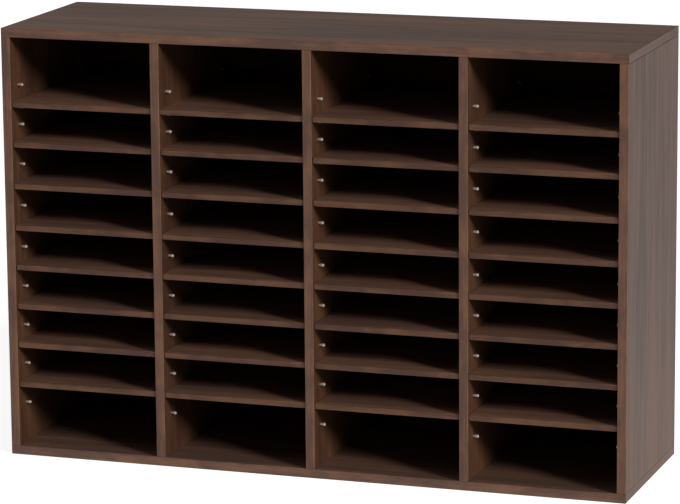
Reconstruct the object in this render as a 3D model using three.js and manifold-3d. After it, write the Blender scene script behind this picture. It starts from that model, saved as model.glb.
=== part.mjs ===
// Pigeonhole mail sorter: an open-fronted case of dark walnut board. Three dividers make four columns, a
// thin back stands in grooves, and loose shelves lie on metal pins, so that each can be drawn out.
// Lengths are millimetres. +Z is up, the open front faces -Y, and the origin lies under the case's middle.

import * as THREE from 'three';
import { mergeVertices } from 'three/addons/utils/BufferGeometryUtils.js';
import Module from 'manifold-3d';

const wasm = await Module();
wasm.setup();

// Pigeonholes: clear width of a column and clear heights of the rows, the middle ones from the bottom up
const columnCount = 4;
const columnWidth = 232.3;
const bottomRowHeight = 95.1;
const middleRowHeights = [54.5, 53, 53.5, 54, 57, 57, 54];
const topRowHeight = 101.3;

// Case boards
const caseDepth = 305;
const topThickness = 14.3;
const bottomThickness = 14.3;
const sideThickness = 14.3;
const dividerThickness = 14.3;
const seamGap = 0.1;

// Back board and the groove that holds it
const backThickness = 5;
const backInset = 10;
const grooveDepth = 6;
const grooveClearance = 0.3;
const dividerBackClearance = 0.3;

// Shelves
const shelfThickness = 9;
const shelfSetback = 3;
const shelfSideClearance = 0.5;
const shelfBackClearance = 1;

// Shelf pins: each shelf lies on four, and every pigeonhole has spare ones on both walls
const pinDiameter = 5;
const pinReach = 8.5;
const pinInset = 29;
const pinSeatGap = 0.3;
const sparePinDrop = 30.2;
const topSparePinRise = 32.2;
const pinSides = 12;

// Wooden dowels between the uprights and the top and bottom
const dowelDiameter = 8;
const dowelLength = 30;
const dowelInset = 45;
const dowelCover = 5;
const dowelClearance = 0.3;
const dowelSides = 8;

// Overall width and the left wall of each column
const caseWidth =
  2 * sideThickness + columnCount * columnWidth + (columnCount - 1) * dividerThickness;
const insideWidth = caseWidth - 2 * sideThickness;
const columnLeft = [];
for (let column = 0; column < columnCount; column += 1) {
  columnLeft.push(-insideWidth / 2 + column * (columnWidth + dividerThickness));
}

// Heights of the shelves' undersides from the bottom up, then of the case
const shelfUndersides = [];
let level = bottomThickness;
for (const rowHeight of [bottomRowHeight, ...middleRowHeights]) {
  level += rowHeight;
  shelfUndersides.push(level);
  level += shelfThickness;
}
const insideTop = level + topRowHeight;
const insideBottom = bottomThickness;
const insideHeight = insideTop - insideBottom;

// Places along the depth
const caseFront = -caseDepth / 2;
const caseRear = caseDepth / 2;
const grooveRear = caseRear - backInset;
const grooveFront = grooveRear - backThickness - 2 * grooveClearance;
const backMiddle = (grooveFront + grooveRear) / 2;
const backFront = backMiddle - backThickness / 2;
const dividerRear = backFront - dividerBackClearance;
const shelfFront = caseFront + shelfSetback;
const shelfRear = backFront - shelfBackClearance;
const pinDepths = [caseFront + pinInset, backFront - pinInset];
const dowelDepths = { front: caseFront + dowelInset, rear: backFront - dowelInset };

// Heights of the pins that carry the shelves, and of the spare ones
const supportPinHeights = shelfUndersides.map((z) => z - pinSeatGap - pinDiameter / 2);
const sparePinHeights = shelfUndersides.map((z) => z - sparePinDrop);
sparePinHeights.push(shelfUndersides.at(-1) + topSparePinRise);
const pinHeights = [...supportPinHeights, ...sparePinHeights];

// Finishes
const walnut = new THREE.MeshStandardMaterial({ color: 0x5e463a, roughness: 0.55, flatShading: true });
const shelfWalnut = new THREE.MeshStandardMaterial({ color: 0x584135, roughness: 0.55, flatShading: true });
const backWalnut = new THREE.MeshStandardMaterial({ color: 0x4a372d, roughness: 0.7, flatShading: true });
const beech = new THREE.MeshStandardMaterial({ color: 0xc9a67a, roughness: 0.75, flatShading: true });

const sorter = new THREE.Group();

function addPiece(name, geometry, material, x, y, z) {
  const piece = new THREE.Mesh(geometry, material);
  piece.name = name;
  piece.position.set(x, y, z);
  sorter.add(piece);
}

// Box between two corners
function block(low, high) {
  const size = high.map((value, axis) => value - low[axis]);
  const middle = high.map((value, axis) => (value + low[axis]) / 2);
  return new THREE.BoxGeometry(...size).translate(...middle);
}

// Rod along Z with a flat on its +Y side, as wide over its flats as the diameter
function rod(diameter, length, sides) {
  const corner = diameter / 2 / Math.cos(Math.PI / sides);
  const turn = Math.PI / sides;
  return new THREE.CylinderGeometry(corner, corner, length, sides).rotateY(turn).rotateX(Math.PI / 2);
}

// Closed solid of a geometry, for joining and cutting
function solid(geometry) {
  const bare = geometry.clone();
  bare.deleteAttribute('normal');
  bare.deleteAttribute('uv');
  const merged = mergeVertices(bare);
  return new wasm.Manifold(
    new wasm.Mesh({
      numProp: 3,
      vertProperties: Float32Array.from(merged.attributes.position.array),
      triVerts: Uint32Array.from(merged.index.array),
    }),
  );
}

// Geometry of a finished solid
function geometryOf(body) {
  const mesh = body.getMesh();
  const geometry = new THREE.BufferGeometry();
  geometry.setAttribute('position', new THREE.BufferAttribute(mesh.vertProperties, 3));
  geometry.setIndex(new THREE.BufferAttribute(mesh.triVerts, 1));
  geometry.computeVertexNormals();
  return geometry;
}

// Depth of a dowel in the top or bottom panel, whose outside stays closed
function dowelDepthIn(panelThickness) {
  return panelThickness - dowelCover;
}

// Blind hole for a dowel, running up (+1) or down (-1) into a board from the face at faceZ
function dowelHole(x, y, faceZ, depth, direction) {
  const length = depth + 2 * dowelClearance;
  const middle = faceZ + direction * (length / 2 - dowelClearance);
  return rod(dowelDiameter + 2 * dowelClearance, length, dowelSides).translate(x, y, middle);
}

// Middle of each upright across the width, by name
const uprightMiddles = { left_side: -(insideWidth + sideThickness) / 2 };
for (let column = 1; column < columnCount; column += 1) {
  uprightMiddles[`divider_${column}`] = columnLeft[column] - dividerThickness / 2;
}
uprightMiddles.right_side = (insideWidth + sideThickness) / 2;

// Top or bottom panel, with its inner face at z = 0 and its thickness running outward
function panelGeometry(thickness, outward) {
  const outerFace = outward * thickness;
  const faces = [Math.min(0, outerFace), Math.max(0, outerFace)];
  let panel = solid(block([-caseWidth / 2, caseFront, faces[0]], [caseWidth / 2, caseRear, faces[1]]));
  const grooveEnd = insideWidth / 2 + grooveDepth;
  const groove = block([-grooveEnd, grooveFront, -grooveDepth], [grooveEnd, grooveRear, grooveDepth]);
  panel = panel.subtract(solid(groove));
  for (const x of Object.values(uprightMiddles)) {
    for (const y of Object.values(dowelDepths)) {
      panel = panel.subtract(solid(dowelHole(x, y, 0, dowelDepthIn(thickness), outward)));
    }
  }
  return geometryOf(panel);
}

// Pin from the middle of a board out through its left (-1) or right (+1) face
function pinGeometry(boardThickness, face, y, z) {
  const length = boardThickness / 2 + pinReach;
  const pin = rod(pinDiameter, length, pinSides).rotateX(Math.PI / 2).rotateZ(Math.PI / 2);
  return pin.translate((face * length) / 2, y, z);
}

// Side or divider with its middle at x = 0. Its pins are part of it, on the faces that look into a column.
function uprightSolid(thickness, rear, pinFaces) {
  const foot = insideBottom + seamGap;
  const head = insideTop - seamGap;
  let upright = solid(block([-thickness / 2, caseFront, foot], [thickness / 2, rear, head]));
  for (const y of Object.values(dowelDepths)) {
    const intoFoot = dowelLength - dowelDepthIn(bottomThickness) - seamGap;
    const intoHead = dowelLength - dowelDepthIn(topThickness) - seamGap;
    upright = upright.subtract(solid(dowelHole(0, y, foot, intoFoot, 1)));
    upright = upright.subtract(solid(dowelHole(0, y, head, intoHead, -1)));
  }
  for (const face of pinFaces) {
    for (const y of pinDepths) {
      for (const z of pinHeights) {
        upright = upright.add(solid(pinGeometry(thickness, face, y, z)));
      }
    }
  }
  return upright;
}

// Groove for the back board down the inner face of a side
function sideGroove(inward) {
  const innerFace = (inward * sideThickness) / 2;
  return block(
    [innerFace - grooveDepth, grooveFront, insideBottom],
    [innerFace + grooveDepth, grooveRear, insideTop],
  );
}

// Top and bottom
addPiece('top_panel', panelGeometry(topThickness, 1), walnut, 0, 0, insideTop);
addPiece('bottom_panel', panelGeometry(bottomThickness, -1), walnut, 0, 0, insideBottom);

// Sides and dividers
for (const [name, x] of Object.entries(uprightMiddles)) {
  let upright;
  if (name === 'left_side') {
    upright = uprightSolid(sideThickness, caseRear, [1]).subtract(solid(sideGroove(1)));
  } else if (name === 'right_side') {
    upright = uprightSolid(sideThickness, caseRear, [-1]).subtract(solid(sideGroove(-1)));
  } else {
    upright = uprightSolid(dividerThickness, dividerRear, [-1, 1]);
  }
  addPiece(name, geometryOf(upright), walnut, x, 0, 0);
}

// Back board, standing in the grooves of the top, bottom and sides
const backReach = 2 * (grooveDepth - grooveClearance);
const backGeometry = new THREE.BoxGeometry(insideWidth + backReach, backThickness, insideHeight + backReach);
addPiece('back_panel', backGeometry, backWalnut, 0, backMiddle, (insideBottom + insideTop) / 2);

// Shelves, with rows counted from the top
const shelfWidth = columnWidth - 2 * shelfSideClearance;
const shelfDepth = shelfRear - shelfFront;
const shelfMiddle = (shelfFront + shelfRear) / 2;
columnLeft.forEach((left, column) => {
  [...shelfUndersides].reverse().forEach((underside, row) => {
    addPiece(
      `shelf_column_${column + 1}_row_${row + 1}`,
      new THREE.BoxGeometry(shelfWidth, shelfDepth, shelfThickness),
      shelfWalnut,
      left + columnWidth / 2,
      shelfMiddle,
      underside + shelfThickness / 2,
    );
  });
});

// Dowels: one near the front and one near the rear at the head and foot of every upright
const dowelMiddles = {
  top: insideTop + dowelDepthIn(topThickness) - dowelLength / 2,
  bottom: insideBottom - dowelDepthIn(bottomThickness) + dowelLength / 2,
};
for (const [upright, x] of Object.entries(uprightMiddles)) {
  for (const [end, z] of Object.entries(dowelMiddles)) {
    for (const [place, y] of Object.entries(dowelDepths)) {
      const name = `dowel_${upright}_${end}_${place}`;
      addPiece(name, rod(dowelDiameter, dowelLength, dowelSides), beech, x, y, z);
    }
  }
}

export default sorter;
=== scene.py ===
"""Looks of a pigeonhole mail sorter: walnut laminate boards with banded edges, loose shelves and steel pins.

Lengths are metres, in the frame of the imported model: +Z is up and the open front faces -Y.
"""

import math

import bmesh
import bpy
from mathutils import Matrix, Vector


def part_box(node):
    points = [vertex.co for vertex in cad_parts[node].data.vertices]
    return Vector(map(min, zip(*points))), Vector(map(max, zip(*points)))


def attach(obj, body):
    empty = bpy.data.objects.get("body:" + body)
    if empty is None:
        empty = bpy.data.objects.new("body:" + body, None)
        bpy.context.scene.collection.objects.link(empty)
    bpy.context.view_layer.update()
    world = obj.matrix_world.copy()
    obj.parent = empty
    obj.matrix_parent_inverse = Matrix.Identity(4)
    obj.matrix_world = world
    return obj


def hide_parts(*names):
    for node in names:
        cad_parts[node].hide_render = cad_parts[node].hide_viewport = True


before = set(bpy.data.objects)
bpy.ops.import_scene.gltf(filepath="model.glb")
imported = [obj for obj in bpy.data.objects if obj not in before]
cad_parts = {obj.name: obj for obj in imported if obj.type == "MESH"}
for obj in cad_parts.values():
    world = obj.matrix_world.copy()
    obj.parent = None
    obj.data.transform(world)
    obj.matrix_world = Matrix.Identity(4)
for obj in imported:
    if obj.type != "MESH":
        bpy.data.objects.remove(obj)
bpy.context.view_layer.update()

# Axes, and the edges of a board as (axis, side)
X, Y, Z = range(3)
FRONT = (Y, -1)
REAR = (Y, 1)
LEFT_END = (X, -1)
RIGHT_END = (X, 1)

# Boards: rounded edges, squarer saw cuts, edge bands, and room for the dowels and the back
EDGE_RADIUS = 0.0008
EDGE_STEPS = 3
ROUND_PROFILE = 0.5
SQUARE_END_SHARE = 0.3
BAND_THICKNESS = 0.0012
JOINT_CLEARANCE = 0.0003
FLAT_TOLERANCE = 1e-4

# Material slots of a board, after the laminate of its faces
LONG_BAND_SLOT = 1
END_BAND_SLOT = 2

# Sides of the pins and of the dowel holes
ROUND_SIDES = 16

# Shelf pins: they reach out of a wall, and their root stands in it
PIN_REACH = 0.0085
PIN_DIAMETER = 0.005
PIN_ROOT = 0.0002
PIN_INSET = 0.029
PIN_SEAT_GAP = 0.0003
SPARE_PIN_DROP = 0.0302
TOP_SPARE_PIN_RISE = 0.0322

# Pin from the wall to the tip, as (distance from the wall, radius): tapered neck, head and rounded tip
PIN_OUTLINE = (
    (-PIN_ROOT, 0.0018),
    (0.0006, 0.0018),
    (0.0042, 0.0024),
    (0.0048, PIN_DIAMETER / 2),
    (0.0068, PIN_DIAMETER / 2),
    (0.0077, 0.0022),
    (0.0083, 0.0016),
    (PIN_REACH, 0.0008),
)

# Which faces of each upright carry pins: -1 looks left and 1 looks right
PIN_FACES = {
    "left_side": (1,),
    "divider_1": (-1, 1),
    "divider_2": (-1, 1),
    "divider_3": (-1, 1),
    "right_side": (-1,),
}
PANELS = ("top_panel", "bottom_panel")
SHELVES = sorted(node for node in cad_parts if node.startswith("shelf_"))
DOWELS = sorted(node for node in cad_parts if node.startswith("dowel_"))
SHELF_ROWS = sorted({int(node.rsplit("_", 1)[1]) for node in SHELVES})

# Walnut tones, from the dark streaks to the light ones, and the tint of its pores
WALNUT_DARK = (0.070, 0.0262, 0.0122, 1)
WALNUT_MIDDLE = (0.107, 0.0428, 0.0193, 1)
WALNUT_LIGHT = (0.142, 0.0600, 0.0270, 1)
PORE_TINT = (0.72, 0.70, 0.68, 1)
WHITE = (1, 1, 1, 1)

# Walnut grain: shares of its layers, and how far from the noise's middle the tones reach at a contrast of 1
FIGURE_SHARE = 0.42
STREAK_SHARE = 0.36
FIBRE_SHARE = 0.22
NOISE_MIDDLE = 0.5
TONE_REACH = 0.16

# Walnut surface: values of a noise where full pores end and clear wood starts, and the roughness
PORE_TO = 0.30
PORE_CLEAR_FROM = 0.42
DARK_ROUGHNESS = 0.60
LIGHT_ROUGHNESS = 0.46

# Edge bands: a finer, stronger figure and a little more gloss than on the faces
BAND_LOOK = {"gloss": 0.03, "contrast": 2.5, "figure_scale": 30.0, "figure_along": 0.6}

# Dark and light tints of the pins and dowels, the values of a noise that take them, and the roughness
FRONT_PIN_TINTS = ((0.60, 0.51, 0.44, 1), (0.72, 0.61, 0.53, 1))
# The rear pins are the same steel tinted near black: painted shade for the dark rear of the pigeonholes
PAINTED_SHADE_PIN_TINTS = ((0.10, 0.085, 0.073, 1), (0.12, 0.10, 0.088, 1))
BEECH_TINTS = ((0.46, 0.29, 0.14, 1), (0.64, 0.45, 0.25, 1))
TINT_STOPS = (0.3, 0.7)
PIN_ROUGHNESS = (0.50, 0.64)
PIN_METALLIC = 0.4
BEECH_ROUGHNESS = (0.65, 0.8)

# Sockets that a mix node has for colours
MIX_FACTOR = 0
MIX_FIRST = 6
MIX_SECOND = 7
MIX_RESULT = 2

# World: white up to one height of a direction and a dim sky from another, 0 at the horizon and 1 overhead
HORIZON_WHITE_TO = 0.02
SKY_DIM_FROM = 0.05
SKY_LEVEL = 0.2
AMBIENT_LEVEL = 0.004

# Floor, and a painted pool of light on it, whiter, that the foot of the right side mirrors as a painted
# reflection
FLOOR_REACH = 30
FLOOR_DROP = 0.0005
FLOOR_GREY = 0.6
FLOOR_ROUGHNESS = 0.9
FLOOR_GLOW = 0.82
PAINTED_LIGHT_POOL_GLOW = 1.0
PAINTED_LIGHT_POOL_PLACE = (0.7, 0.3, 0.0)
PAINTED_LIGHT_POOL_RADIUS = 1.2

# Lamps: degrees right of the front, degrees up, strength, and degrees across the disc that shines
LAMPS = {
    "key": (62, 23.6, 2.1, 15),
    "overhead": (0, 85, 0.3, 30),
    "front_fill": (-15, 62, 0.15, 30),
    "rear_fill": (235, 8, 1.0, 30),
}

# Keeps the lamps clear of the case, which they light the same from any distance
LAMP_DISTANCE = 9.0

# Camera of the photograph
FRAME_WIDTH_PX = 680
FOCAL_PX = 3706.4
SENSOR_WIDTH_MM = 36.0
CAMERA_PLACE = Vector((1.8343, -5.3570, 1.5061))
CAMERA_AZIMUTH = math.radians(18.91)
CAMERA_ELEVATION = math.radians(11.78)
CAMERA_ROLL = math.radians(-0.48)
CAMERA_CLIP_END = 100


def add_node(tree, kind, inputs=None, **settings):
    """New shader node. Each input is a value or another node's output socket."""
    node = tree.nodes.new(kind)
    for key, value in settings.items():
        setattr(node, key, value)
    for key, value in (inputs or {}).items():
        if isinstance(value, bpy.types.NodeSocket):
            tree.links.new(value, node.inputs[key])
        else:
            node.inputs[key].default_value = value
    return node


def new_material(name):
    """Material with a Principled shader: (material, its node tree, the shader)."""
    material = bpy.data.materials.new(name)
    material.use_nodes = True
    tree = material.node_tree
    return material, tree, tree.nodes["Principled BSDF"]


def grey(level):
    return (level, level, level, 1)


def own_place(tree):
    """Place on the piece itself, in metres."""
    return add_node(tree, "ShaderNodeTexCoord").outputs["Object"]


def math_node(tree, operation, *values):
    return add_node(tree, "ShaderNodeMath", dict(enumerate(values)), operation=operation).outputs[0]


def mix_colors(tree, factor, first, second, blend="MIX"):
    inputs = {MIX_FACTOR: factor, MIX_FIRST: first, MIX_SECOND: second}
    mix = add_node(tree, "ShaderNodeMix", inputs, data_type="RGBA", blend_type=blend)
    return mix.outputs[MIX_RESULT]


def noise_node(tree, place, scale, detail, distortion=0.0):
    inputs = {"Vector": place, "Scale": scale, "Detail": detail, "Distortion": distortion}
    return add_node(tree, "ShaderNodeTexNoise", inputs).outputs["Fac"]


def grain_noise(tree, place, axis, along, scale, detail, distortion=0.0):
    """Noise drawn out along an axis: scale is per metre across it, and along is its share lengthwise."""
    stretch = [1.0, 1.0, 1.0]
    stretch[axis] = along
    drawn = add_node(tree, "ShaderNodeVectorMath", {0: place, 1: stretch}, operation="MULTIPLY")
    return noise_node(tree, drawn.outputs[0], scale, detail, distortion)


def color_ramp(tree, factor, stops):
    ramp = add_node(tree, "ShaderNodeValToRGB", {"Fac": factor})
    elements = ramp.color_ramp.elements
    while len(elements) < len(stops):
        elements.new(0.5)
    for element, (position, color) in zip(elements, stops):
        element.position = position
        element.color = color
    return ramp.outputs["Color"]


def ranged(tree, value, low, high):
    """A value between 0 and 1 carried over to the range low to high."""
    return add_node(tree, "ShaderNodeMapRange", {"Value": value, "To Min": low, "To Max": high}).outputs[0]


def bump_by(tree, shader, height, strength, distance):
    inputs = {"Height": height, "Strength": strength, "Distance": distance}
    bump = add_node(tree, "ShaderNodeBump", inputs)
    tree.links.new(bump.outputs["Normal"], shader.inputs["Normal"])


def walnut(
    name,
    axis,
    tone=1.0,
    painted_sheen=0.0,
    gloss=0.0,
    specular=0.5,
    contrast=1.8,
    figure_scale=11.0,
    figure_along=0.16,
):
    """Satin walnut laminate with its grain along one axis.

    Tone scales its colours, painted grey sheen is added to them, and contrast sharpens the streaks.
    Gloss is taken off the roughness, and specular is how strongly the surface mirrors.
    """
    material, tree, shader = new_material(name)
    place = own_place(tree)
    figure = grain_noise(tree, place, axis, figure_along, figure_scale, detail=2.0, distortion=0.6)
    streak = grain_noise(tree, place, axis, along=0.045, scale=95.0, detail=4.0)
    fibre = grain_noise(tree, place, axis, along=0.025, scale=520.0, detail=3.0)
    pore = grain_noise(tree, place, axis, along=0.03, scale=1700.0, detail=1.0)
    grain = math_node(tree, "MULTIPLY", figure, FIGURE_SHARE)
    grain = math_node(tree, "MULTIPLY_ADD", streak, STREAK_SHARE, grain)
    grain = math_node(tree, "MULTIPLY_ADD", fibre, FIBRE_SHARE, grain)

    # Walnut colour scaled, with painted sheen added to it as grey
    def toned(color):
        return (*(part * tone + painted_sheen for part in color[:3]), 1)

    reach = TONE_REACH / contrast
    stops = (
        (NOISE_MIDDLE - reach, toned(WALNUT_DARK)),
        (NOISE_MIDDLE, toned(WALNUT_MIDDLE)),
        (NOISE_MIDDLE + reach, toned(WALNUT_LIGHT)),
    )
    color = color_ramp(tree, grain, stops)
    pored = color_ramp(tree, pore, ((PORE_TO, PORE_TINT), (PORE_CLEAR_FROM, WHITE)))
    tree.links.new(mix_colors(tree, 1.0, color, pored, "MULTIPLY"), shader.inputs["Base Color"])
    roughness = ranged(tree, streak, DARK_ROUGHNESS - gloss, LIGHT_ROUGHNESS - gloss)
    tree.links.new(roughness, shader.inputs["Roughness"])
    shader.inputs["Specular IOR Level"].default_value = specular
    bump_by(tree, shader, math_node(tree, "ADD", fibre, pore), strength=0.25, distance=0.00008)
    return material


def pin_steel(name, tints):
    """Dull plated steel with faint turning marks round the pin: part bare metal, part chalky film."""
    material, tree, shader = new_material(name)
    place = own_place(tree)
    marks = grain_noise(tree, place, X, along=6.0, scale=900.0, detail=2.0)
    cloud = noise_node(tree, place, scale=240.0, detail=2.0)
    tint = color_ramp(tree, cloud, tuple(zip(TINT_STOPS, tints)))
    tree.links.new(tint, shader.inputs["Base Color"])
    tree.links.new(ranged(tree, marks, *PIN_ROUGHNESS), shader.inputs["Roughness"])
    bump_by(tree, shader, marks, strength=0.2, distance=0.00003)
    shader.inputs["Metallic"].default_value = PIN_METALLIC
    return material


def beech():
    """Plain beech of the dowels, with its grain upright."""
    material, tree, shader = new_material("beech")
    streak = grain_noise(tree, own_place(tree), Z, along=0.05, scale=900.0, detail=3.0)
    tint = color_ramp(tree, streak, tuple(zip(TINT_STOPS, BEECH_TINTS)))
    tree.links.new(tint, shader.inputs["Base Color"])
    tree.links.new(ranged(tree, streak, *BEECH_ROUGHNESS), shader.inputs["Roughness"])
    return material


PANEL = walnut("walnut_panel", X, tone=1.1, painted_sheen=0.03, contrast=2.2)
PANEL_BAND = walnut("walnut_panel_band", X, tone=1.76, painted_sheen=0.03, **BAND_LOOK)
PANEL_END = walnut("walnut_panel_end", Y, tone=0.85, gloss=-0.04)
UPRIGHT = walnut("walnut_upright", Z, tone=0.88, gloss=-0.04)
UPRIGHT_BAND = walnut("walnut_upright_band", Z, tone=1.62, painted_sheen=0.025, **BAND_LOOK)
SHELF = walnut("walnut_shelf", X, tone=1.35, painted_sheen=0.03, contrast=2.2)
SHELF_BAND = walnut("walnut_shelf_band", X, tone=1.3, **BAND_LOOK)
# The backing's low tone is partly a darker board, and it is darkened further as painted shade at the rear of
# the pigeonholes
BACKING = walnut("walnut_backing", X, tone=0.35, gloss=-0.2, specular=0.1)
FRONT_PIN = pin_steel("pin_steel", FRONT_PIN_TINTS)
# Rear pins: the same steel with painted shade
PAINTED_SHADE_PIN = pin_steel("pin_steel_painted_shade", PAINTED_SHADE_PIN_TINTS)
BEECH = beech()


def board_box(node):
    """Corners of a node's board, without the pins that stand out of it."""
    low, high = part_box(node)
    for face in PIN_FACES.get(node, ()):
        if face < 0:
            low.x += PIN_REACH
        else:
            high.x -= PIN_REACH
    return low, high


def add_object(name, data):
    """New object in the scene from a mesh, lamp or camera."""
    piece = bpy.data.objects.new(name, data)
    bpy.context.scene.collection.objects.link(piece)
    return piece


def mesh_from(name, bm):
    mesh = bpy.data.meshes.new(name)
    bm.to_mesh(mesh)
    bm.free()
    return mesh


def box_in(bm, low, high):
    """Adds a box between two corners to a bmesh."""
    middle = Matrix.Translation((low + high) / 2)
    size = Matrix.Diagonal((*(high - low), 1))
    bmesh.ops.create_cube(bm, size=1, matrix=middle @ size)


def rod_in(bm, low, high):
    """Adds an upright rod that fills a box between two corners to a bmesh."""
    size = high - low
    bmesh.ops.create_cone(
        bm,
        cap_ends=True,
        segments=ROUND_SIDES,
        radius1=size.x / 2,
        radius2=size.x / 2,
        depth=size.z,
        matrix=Matrix.Translation((low + high) / 2),
    )


def grown(node, clearance):
    """Corners of a node's box with a clearance all round."""
    low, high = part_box(node)
    room = Vector((clearance,) * 3)
    return low - room, high + room


def overlap(first, second):
    return all(first[0][i] < second[1][i] and second[0][i] < first[1][i] for i in range(3))


def joint_cutter(box):
    """What is cut out of a board for the dowels and the back board that enter it, or None."""
    bm = bmesh.new()
    for node in DOWELS:
        room = grown(node, JOINT_CLEARANCE)
        if overlap(room, box):
            rod_in(bm, *room)
    groove = grown("back_panel", JOINT_CLEARANCE)
    if overlap(groove, box):
        box_in(bm, *groove)
    if not bm.verts:
        bm.free()
        return None
    return mesh_from("cutter", bm)


def cut(piece, cutter_mesh):
    """Cuts a mesh out of a piece for good."""
    cutter = add_object("cutter", cutter_mesh)
    modifier = piece.modifiers.new("cut", "BOOLEAN")
    modifier.object = cutter
    modifier.operation = "DIFFERENCE"
    modifier.solver = "EXACT"
    evaluated = piece.evaluated_get(bpy.context.evaluated_depsgraph_get())
    finished = bpy.data.meshes.new_from_object(evaluated)
    piece.modifiers.clear()
    piece.data = finished
    bpy.data.objects.remove(cutter)
    bpy.data.meshes.remove(cutter_mesh)


def square_ends(bm, low, high, axis):
    """Draws the rounding at both ends of a board towards the end face, as on a saw cut."""
    for vert in bm.verts:
        for end in (low[axis], high[axis]):
            depth = vert.co[axis] - end
            if abs(depth) < EDGE_RADIUS:
                vert.co[axis] = end + depth * SQUARE_END_SHARE


def add_bands(bm, low, high, grain, band_faces):
    """Seams of the edge bands, with the band's material slot on the outer side of each."""
    for axis, side in band_faces:
        normal = Vector((0, 0, 0))
        normal[axis] = side
        edge = high if side > 0 else low
        seam = edge - normal * BAND_THICKNESS
        everything = bm.verts[:] + bm.edges[:] + bm.faces[:]
        bmesh.ops.bisect_plane(bm, geom=everything, plane_co=seam, plane_no=normal)
        for face in bm.faces:
            if (face.calc_center_median() - seam).dot(normal) > 0:
                face.material_index = END_BAND_SLOT if axis == grain else LONG_BAND_SLOT


def board_mesh(name, low, high, materials, grain, band_faces):
    """Board with rounded edges. Its slots are face laminate, long band and end band.

    grain is the axis that the face's grain follows, and band_faces are the (axis, side) of the banded edges.
    """
    bm = bmesh.new()
    box_in(bm, low, high)
    bmesh.ops.bevel(
        bm,
        geom=bm.edges[:],
        offset=EDGE_RADIUS,
        segments=EDGE_STEPS,
        profile=ROUND_PROFILE,
        affect="EDGES",
    )
    if (grain, 1) not in band_faces:
        square_ends(bm, low, high, grain)
    add_bands(bm, low, high, grain, band_faces)
    # Only the rounded edges are shaded smooth
    for face in bm.faces:
        face.smooth = max(abs(part) for part in face.normal) < 1 - FLAT_TOLERANCE
    mesh = mesh_from(name, bm)
    for material in materials:
        mesh.materials.append(material)
    return mesh


def add_board(node, body, materials, grain, band_faces):
    """Finished board that stands for a CAD node."""
    low, high = board_box(node)
    name = f"{node}_board"
    piece = add_object(name, board_mesh(name, low, high, materials, grain, band_faces))
    cutter = joint_cutter((low, high)) if body == "case" and node != "back_panel" else None
    if cutter:
        cut(piece, cutter)
    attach(piece, body)
    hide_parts(node)


for panel in PANELS:
    banded = (FRONT, REAR, LEFT_END, RIGHT_END)
    add_board(panel, "case", (PANEL, PANEL_BAND, PANEL_END), X, banded)
for upright in PIN_FACES:
    add_board(upright, "case", (UPRIGHT, UPRIGHT_BAND), Z, (FRONT, REAR))
add_board("back_panel", "case", (BACKING,), X, ())
for shelf in SHELVES:
    add_board(shelf, shelf, (SHELF, SHELF_BAND), X, (FRONT,))


def add_pin(bm, wall_x, face, y, z, plain_or_painted_shade_slot):
    """Turned pin that stands out of a wall, as rings of points round its axis, in a material slot."""
    rings = []
    for distance, radius in PIN_OUTLINE:
        ring = []
        for step in range(ROUND_SIDES):
            turn = 2 * math.pi * step / ROUND_SIDES
            place = (wall_x + face * distance, y + radius * math.cos(turn), z + radius * math.sin(turn))
            ring.append(bm.verts.new(place))
        rings.append(ring)
    for ring, following in zip(rings, rings[1:]):
        for step in range(ROUND_SIDES):
            ahead = (step + 1) % ROUND_SIDES
            side = bm.faces.new((ring[step], ring[ahead], following[ahead], following[step]))
            side.smooth = True
            side.material_index = plain_or_painted_shade_slot
    for ring in (rings[0], rings[-1]):
        bm.faces.new(ring).material_index = plain_or_painted_shade_slot


def pin_heights():
    """Heights of the pins on a wall: those under the shelves, and the spare ones."""
    undersides = [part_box(f"shelf_column_1_row_{row}")[0].z for row in SHELF_ROWS]
    heights = [z - PIN_SEAT_GAP - PIN_DIAMETER / 2 for z in undersides]
    heights += [z - SPARE_PIN_DROP for z in undersides]
    heights.append(max(undersides) + TOP_SPARE_PIN_RISE)
    return heights


# Depths of the front and rear pins, in the order of their materials: plain steel, then steel with painted
# shade
PIN_DEPTHS = (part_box("top_panel")[0].y + PIN_INSET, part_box("back_panel")[0].y - PIN_INSET)

for upright, faces in PIN_FACES.items():
    low, high = board_box(upright)
    for face in faces:
        bm = bmesh.new()
        wall_x = high.x if face > 0 else low.x
        # The second material slot holds the rear pins' painted shade
        for plain_or_painted_shade_slot, y in enumerate(PIN_DEPTHS):
            for z in pin_heights():
                add_pin(bm, wall_x, face, y, z, plain_or_painted_shade_slot)
        bmesh.ops.recalc_face_normals(bm, faces=bm.faces[:])
        name = f"pins_{upright}_{'right' if face > 0 else 'left'}"
        pins = add_object(name, mesh_from(name, bm))
        for material in (FRONT_PIN, PAINTED_SHADE_PIN):
            pins.data.materials.append(material)
        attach(pins, "case")

for dowel in DOWELS:
    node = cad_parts[dowel]
    node.data.materials.clear()
    node.data.materials.append(BEECH)


def seen_directly(tree):
    """1 for what the camera sees, straight, mirrored or through glass, and 0 for light on other things."""
    path = add_node(tree, "ShaderNodeLightPath")
    seen = math_node(tree, "ADD", path.outputs["Is Camera Ray"], path.outputs["Is Glossy Ray"])
    seen = math_node(tree, "ADD", seen, path.outputs["Is Transmission Ray"])
    return math_node(tree, "MINIMUM", seen, 1.0)


def floor_glow_and_painted_light_pool(tree):
    """Floor's own white, which grows towards the middle of a painted pool of light."""
    away = add_node(tree, "ShaderNodeVectorMath", {0: own_place(tree), 1: PAINTED_LIGHT_POOL_PLACE}, operation="DISTANCE")
    share = math_node(tree, "DIVIDE", away.outputs["Value"], PAINTED_LIGHT_POOL_RADIUS)
    return ranged(tree, share, PAINTED_LIGHT_POOL_GLOW, FLOOR_GLOW)


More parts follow.
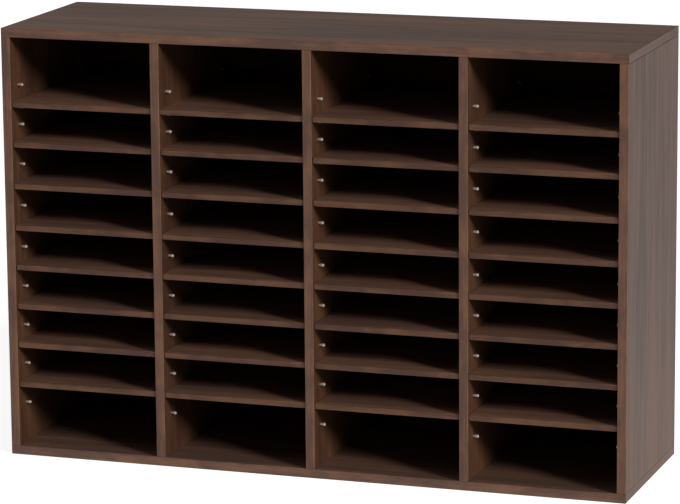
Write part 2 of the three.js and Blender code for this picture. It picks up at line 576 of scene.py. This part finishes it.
def add_floor():
    """Pale floor that shows white and keeps the shadow of the case."""
    bm = bmesh.new()
    bmesh.ops.create_grid(bm, x_segments=1, y_segments=1, size=FLOOR_REACH)
    floor = add_object("floor", mesh_from("floor", bm))
    floor.location.z = -FLOOR_DROP
    material, tree, shader = new_material("floor_white")
    shader.inputs["Base Color"].default_value = grey(FLOOR_GREY)
    shader.inputs["Roughness"].default_value = FLOOR_ROUGHNESS
    shader.inputs["Specular IOR Level"].default_value = 0.0
    shader.inputs["Emission Color"].default_value = WHITE
    glow = math_node(tree, "MULTIPLY", seen_directly(tree), floor_glow_and_painted_light_pool(tree))
    tree.links.new(glow, shader.inputs["Emission Strength"])
    floor.data.materials.append(material)


def set_world():
    """White horizon under a dim sky, as the camera and mirrors see it, and a low even light on the rest."""
    world = bpy.data.worlds.new("studio")
    bpy.context.scene.world = world
    world.use_nodes = True
    tree = world.node_tree
    direction = add_node(tree, "ShaderNodeTexCoord").outputs["Generated"]
    height = add_node(tree, "ShaderNodeSeparateXYZ", {0: direction}).outputs["Z"]
    sky = color_ramp(tree, height, ((HORIZON_WHITE_TO, WHITE), (SKY_DIM_FROM, grey(SKY_LEVEL))))
    mixed = mix_colors(tree, seen_directly(tree), grey(AMBIENT_LEVEL), sky)
    tree.links.new(mixed, tree.nodes["Background"].inputs["Color"])


def toward(azimuth, elevation):
    """Direction from the case to a place right of its front by the azimuth and up by the elevation."""
    turn = math.radians(azimuth)
    rise = math.radians(elevation)
    return Vector((math.sin(turn) * math.cos(rise), -math.cos(turn) * math.cos(rise), math.sin(rise)))


def add_lamp(name, azimuth, elevation, strength, spread):
    """Far lamp whose light falls evenly on the case, from a disc as wide as the spread in degrees."""
    lamp = bpy.data.lights.new(name, "SUN")
    lamp.energy = strength
    lamp.angle = math.radians(spread)
    holder = add_object(name, lamp)
    back = toward(azimuth, elevation)
    holder.location = back * LAMP_DISTANCE
    holder.rotation_mode = "QUATERNION"
    holder.rotation_quaternion = (-back).to_track_quat("-Z", "Y")


def add_camera():
    data = bpy.data.cameras.new("photo_camera")
    data.sensor_width = SENSOR_WIDTH_MM
    data.lens = FOCAL_PX * SENSOR_WIDTH_MM / FRAME_WIDTH_PX
    data.clip_end = CAMERA_CLIP_END
    camera = add_object("photo_camera", data)
    turn = Matrix.Rotation(CAMERA_AZIMUTH, 4, "Z")
    turn = turn @ Matrix.Rotation(math.pi / 2 - CAMERA_ELEVATION, 4, "X")
    turn = turn @ Matrix.Rotation(CAMERA_ROLL, 4, "Z")
    camera.matrix_world = Matrix.Translation(CAMERA_PLACE) @ turn
    bpy.context.scene.camera = camera


add_floor()
set_world()
for lamp_name, settings in LAMPS.items():
    add_lamp(lamp_name, *settings)
add_camera()
bpy.context.scene.view_settings.view_transform = "Standard"
